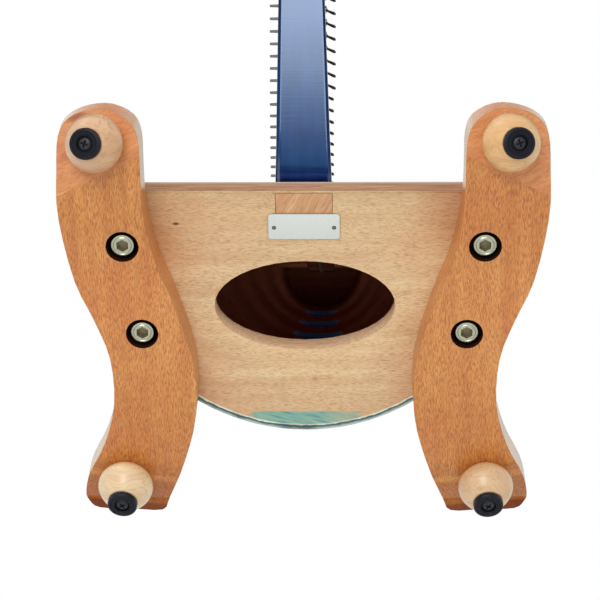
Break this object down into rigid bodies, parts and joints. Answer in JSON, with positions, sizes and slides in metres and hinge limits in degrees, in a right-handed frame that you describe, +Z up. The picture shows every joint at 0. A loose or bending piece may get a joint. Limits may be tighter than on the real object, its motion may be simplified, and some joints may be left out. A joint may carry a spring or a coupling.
{
  "type": "lever harp",
  "caption": "Floor-standing lever harp: leaning soundbox with oval access hole, bowed pillar, curved neck, strings, flip-up levers, and splayed legs on turned feet.",
  "frame": {"origin": "on the floor, under the middle of the harp's bounding box", "axes": "+Z up; +Y back from the pillar toward the player; +X toward the side of the neck that carries the levers"},
  "size_m": [0.3334, 0.6732, 1.3407],
  "materials": {
    "black_lever": "satin",
    "black_rubber": "matte",
    "blue_lacquer": "gloss",
    "blue_ply": "gloss",
    "brown_hardwood": "satin",
    "nylon_string": "satin",
    "orange_beech": "satin",
    "pale_beech": "satin",
    "plain_maple": "matte",
    "silver_plate": "satin",
    "spruce": "satin",
    "turned_maple": "satin",
    "zinc_steel": "satin"
  },
  "bodies": {
    "harp_frame": {"base_block": "plain_maple", "bottom_board": "pale_beech", "foot_bun_back_left": "turned_maple", "foot_bun_back_right": "turned_maple", "foot_bun_front_left": "turned_maple", "foot_bun_front_right": "turned_maple", "foot_tip_back_left": "black_rubber", "foot_tip_back_right": "black_rubber", "foot_tip_front_left": "black_rubber", "foot_tip_front_right": "black_rubber", "front_edging": "brown_hardwood", "inner_string_strip": "plain_maple", "left_leg": "orange_beech", "leg_bolt_back_left": "zinc_steel", "leg_bolt_back_right": "zinc_steel", "leg_bolt_front_left": "zinc_steel", "leg_bolt_front_right": "zinc_steel", "nameplate": "silver_plate", "neck": "blue_lacquer", "pillar": "blue_lacquer", "right_leg": "orange_beech", "shell_brace": "plain_maple", "shoulder_block": "blue_lacquer", "soundboard": "spruce", "soundbox_shell": "blue_ply", "strings_on_rib": "nylon_string"},
    "lever_01": {"lever_01": "black_lever"},
    "lever_02": {"lever_02": "black_lever"},
    "lever_03": {"lever_03": "black_lever"},
    "lever_04": {"lever_04": "black_lever"},
    "lever_05": {"lever_05": "black_lever"},
    "lever_06": {"lever_06": "black_lever"},
    "lever_07": {"lever_07": "black_lever"},
    "lever_08": {"lever_08": "black_lever"},
    "lever_09": {"lever_09": "black_lever"},
    "lever_10": {"lever_10": "black_lever"},
    "lever_11": {"lever_11": "black_lever"},
    "lever_12": {"lever_12": "black_lever"},
    "lever_13": {"lever_13": "black_lever"},
    "lever_14": {"lever_14": "black_lever"},
    "lever_15": {"lever_15": "black_lever"},
    "lever_16": {"lever_16": "black_lever"},
    "lever_17": {"lever_17": "black_lever"},
    "lever_18": {"lever_18": "black_lever"},
    "lever_19": {"lever_19": "black_lever"},
    "lever_20": {"lever_20": "black_lever"},
    "lever_21": {"lever_21": "black_lever"},
    "lever_22": {"lever_22": "black_lever"},
    "lever_23": {"lever_23": "black_lever"},
    "lever_24": {"lever_24": "black_lever"},
    "lever_25": {"lever_25": "black_lever"},
    "lever_26": {"lever_26": "black_lever"},
    "lever_27": {"lever_27": "black_lever"},
    "lever_28": {"lever_28": "black_lever"},
    "lever_29": {"lever_29": "black_lever"},
    "lever_30": {"lever_30": "black_lever"},
    "lever_31": {"lever_31": "black_lever"},
    "lever_32": {"lever_32": "black_lever"},
    "lever_33": {"lever_33": "black_lever"},
    "lever_34": {"lever_34": "black_lever"}
  },
  "joints": [
    {"name": "lever_01_flip", "type": "hinge", "parent": "harp_frame", "child": "lever_01", "pos_m": [0.0051, -0.20659, 1.18492], "axis": [0, -0.9997, -0.0264], "range_deg": [0, 105]},
    {"name": "lever_02_flip", "type": "hinge", "parent": "harp_frame", "child": "lever_02", "pos_m": [0.0051, -0.19126, 1.18036], "axis": [0, -0.9997, -0.0264], "range_deg": [0, 105]},
    {"name": "lever_03_flip", "type": "hinge", "parent": "harp_frame", "child": "lever_03", "pos_m": [0.0051, -0.17601, 1.17495], "axis": [0, -0.9997, -0.0264], "range_deg": [0, 105]},
    {"name": "lever_04_flip", "type": "hinge", "parent": "harp_frame", "child": "lever_04", "pos_m": [0.0051, -0.16085, 1.16902], "axis": [0, -0.9997, -0.0264], "range_deg": [0, 105]},
    {"name": "lever_05_flip", "type": "hinge", "parent": "harp_frame", "child": "lever_05", "pos_m": [0.0051, -0.14578, 1.1629], "axis": [0, -0.9997, -0.0264], "range_deg": [0, 105]},
    {"name": "lever_06_flip", "type": "hinge", "parent": "harp_frame", "child": "lever_06", "pos_m": [0.0051, -0.13082, 1.15689], "axis": [0, -0.9997, -0.0264], "range_deg": [0, 105]},
    {"name": "lever_07_flip", "type": "hinge", "parent": "harp_frame", "child": "lever_07", "pos_m": [0.0051, -0.11596, 1.15123], "axis": [0, -0.9997, -0.0264], "range_deg": [0, 105]},
    {"name": "lever_08_flip", "type": "hinge", "parent": "harp_frame", "child": "lever_08", "pos_m": [0.0051, -0.10121, 1.14556], "axis": [0, -0.9997, -0.0264], "range_deg": [0, 105]},
    {"name": "lever_09_flip", "type": "hinge", "parent": "harp_frame", "child": "lever_09", "pos_m": [0.0051, -0.08655, 1.13985], "axis": [0, -0.9997, -0.0264], "range_deg": [0, 105]},
    {"name": "lever_10_flip", "type": "hinge", "parent": "harp_frame", "child": "lever_10", "pos_m": [0.0051, -0.072, 1.13425], "axis": [0, -0.9997, -0.0264], "range_deg": [0, 105]},
    {"name": "lever_11_flip", "type": "hinge", "parent": "harp_frame", "child": "lever_11", "pos_m": [0.0051, -0.05755, 1.12887], "axis": [0, -0.9997, -0.0264], "range_deg": [0, 105]},
    {"name": "lever_12_flip", "type": "hinge", "parent": "harp_frame", "child": "lever_12", "pos_m": [0.0051, -0.04321, 1.12384], "axis": [0, -0.9997, -0.0264], "range_deg": [0, 105]},
    {"name": "lever_13_flip", "type": "hinge", "parent": "harp_frame", "child": "lever_13", "pos_m": [0.0051, -0.02899, 1.11925], "axis": [0, -0.9997, -0.0264], "range_deg": [0, 105]},
    {"name": "lever_14_flip", "type": "hinge", "parent": "harp_frame", "child": "lever_14", "pos_m": [0.0051, -0.01487, 1.11509], "axis": [0, -0.9997, -0.0264], "range_deg": [0, 105]},
    {"name": "lever_15_flip", "type": "hinge", "parent": "harp_frame", "child": "lever_15", "pos_m": [0.0051, -0.00087, 1.11122], "axis": [0, -0.9997, -0.0264], "range_deg": [0, 105]},
    {"name": "lever_16_flip", "type": "hinge", "parent": "harp_frame", "child": "lever_16", "pos_m": [0.0051, 0.01304, 1.10753], "axis": [0, -0.9997, -0.0264], "range_deg": [0, 105]},
    {"name": "lever_17_flip", "type": "hinge", "parent": "harp_frame", "child": "lever_17", "pos_m": [0.0051, 0.02684, 1.10392], "axis": [0, -0.9997, -0.0264], "range_deg": [0, 105]},
    {"name": "lever_18_flip", "type": "hinge", "parent": "harp_frame", "child": "lever_18", "pos_m": [0.0051, 0.04054, 1.10021], "axis": [0, -0.9997, -0.0264], "range_deg": [0, 105]},
    {"name": "lever_19_flip", "type": "hinge", "parent": "harp_frame", "child": "lever_19", "pos_m": [0.0051, 0.05414, 1.09659], "axis": [0, -0.9997, -0.0264], "range_deg": [0, 105]},
    {"name": "lever_20_flip", "type": "hinge", "parent": "harp_frame", "child": "lever_20", "pos_m": [0.0051, 0.06762, 1.09342], "axis": [0, -0.9997, -0.0264], "range_deg": [0, 105]},
    {"name": "lever_21_flip", "type": "hinge", "parent": "harp_frame", "child": "lever_21", "pos_m": [0.0051, 0.08099, 1.09106], "axis": [0, -0.9997, -0.0264], "range_deg": [0, 105]},
    {"name": "lever_22_flip", "type": "hinge", "parent": "harp_frame", "child": "lever_22", "pos_m": [0.0051, 0.09423, 1.08975], "axis": [0, -0.9997, -0.0264], "range_deg": [0, 105]},
    {"name": "lever_23_flip", "type": "hinge", "parent": "harp_frame", "child": "lever_23", "pos_m": [0.0051, 0.10734, 1.08939], "axis": [0, -0.9997, -0.0264], "range_deg": [0, 105]},
    {"name": "lever_24_flip", "type": "hinge", "parent": "harp_frame", "child": "lever_24", "pos_m": [0.0051, 0.12033, 1.0898], "axis": [0, -0.9997, -0.0264], "range_deg": [0, 105]},
    {"name": "lever_25_flip", "type": "hinge", "parent": "harp_frame", "child": "lever_25", "pos_m": [0.0051, 0.13321, 1.09101], "axis": [0, -0.9997, -0.0264], "range_deg": [0, 105]},
    {"name": "lever_26_flip", "type": "hinge", "parent": "harp_frame", "child": "lever_26", "pos_m": [0.0051, 0.14595, 1.09343], "axis": [0, -0.9997, -0.0264], "range_deg": [0, 105]},
    {"name": "lever_27_flip", "type": "hinge", "parent": "harp_frame", "child": "lever_27", "pos_m": [0.0051, 0.15856, 1.09684], "axis": [0, -0.9997, -0.0264], "range_deg": [0, 105]},
    {"name": "lever_28_flip", "type": "hinge", "parent": "harp_frame", "child": "lever_28", "pos_m": [0.0051, 0.17106, 1.10066], "axis": [0, -0.9997, -0.0264], "range_deg": [0, 105]},
    {"name": "lever_29_flip", "type": "hinge", "parent": "harp_frame", "child": "lever_29", "pos_m": [0.0051, 0.18346, 1.10475], "axis": [0, -0.9997, -0.0264], "range_deg": [0, 105]},
    {"name": "lever_30_flip", "type": "hinge", "parent": "harp_frame", "child": "lever_30", "pos_m": [0.0051, 0.19573, 1.10951], "axis": [0, -0.9997, -0.0264], "range_deg": [0, 105]},
    {"name": "lever_31_flip", "type": "hinge", "parent": "harp_frame", "child": "lever_31", "pos_m": [0.0051, 0.20788, 1.11529], "axis": [0, -0.9997, -0.0264], "range_deg": [0, 105]},
    {"name": "lever_32_flip", "type": "hinge", "parent": "harp_frame", "child": "lever_32", "pos_m": [0.0051, 0.21989, 1.12273], "axis": [0, -0.9997, -0.0264], "range_deg": [0, 105]},
    {"name": "lever_33_flip", "type": "hinge", "parent": "harp_frame", "child": "lever_33", "pos_m": [0.0051, 0.23176, 1.13158], "axis": [0, -0.9997, -0.0264], "range_deg": [0, 105]},
    {"name": "lever_34_flip", "type": "hinge", "parent": "harp_frame", "child": "lever_34", "pos_m": [0.0051, 0.24352, 1.14076], "axis": [0, -0.9997, -0.0264], "range_deg": [0, 105]}
  ]
}
